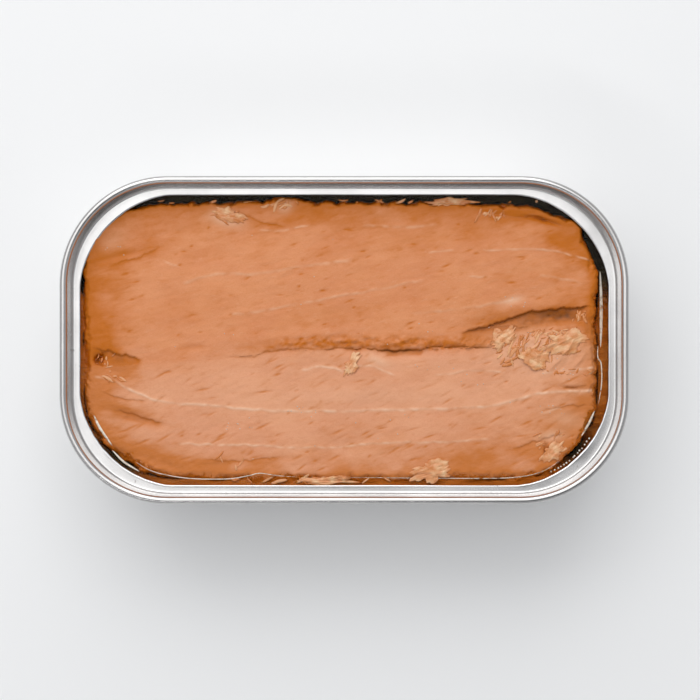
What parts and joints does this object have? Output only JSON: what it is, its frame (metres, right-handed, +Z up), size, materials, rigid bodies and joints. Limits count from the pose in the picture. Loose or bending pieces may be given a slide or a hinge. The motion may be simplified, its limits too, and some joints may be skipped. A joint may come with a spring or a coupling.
{
  "type": "open tuna can",
  "caption": "Open oblong can, its lid torn off at the ledge, filled with cooked tuna loin in oil.",
  "frame": {"origin": "on the table under the middle of the can", "axes": "+X along the can's length, +Y across its width towards the back loin, +Z up"},
  "size_m": [0.105, 0.0604, 0.029],
  "materials": {
    "tinplate_body": "bright drawn tinplate, satin, faint vertical draw lines",
    "tinplate_rim": "bright tinplate, satin, small scuffs and specks, raw torn edge",
    "oil": "clear amber oil, glossy",
    "tuna": "cooked tuna loin, damp and matte, fine grain with pale lines",
    "tuna_flake": "loose cooked flakes, paler, wet with oil"
  },
  "bodies": {
    "root": {"can_body": "tinplate_body", "lid_ring": "tinplate_rim", "oil": "oil", "loin_back": "tuna", "loin_front": "tuna", "flake_right_outer": "tuna_flake", "flake_right_middle": "tuna_flake", "flake_right_inner": "tuna_flake", "flake_middle": "tuna_flake", "flake_back_tuft": "tuna_flake", "flake_back_edge": "tuna_flake", "flake_front_long": "tuna_flake", "flake_front_leaf": "tuna_flake", "flake_corner": "tuna_flake"}
  },
  "joints": []
}
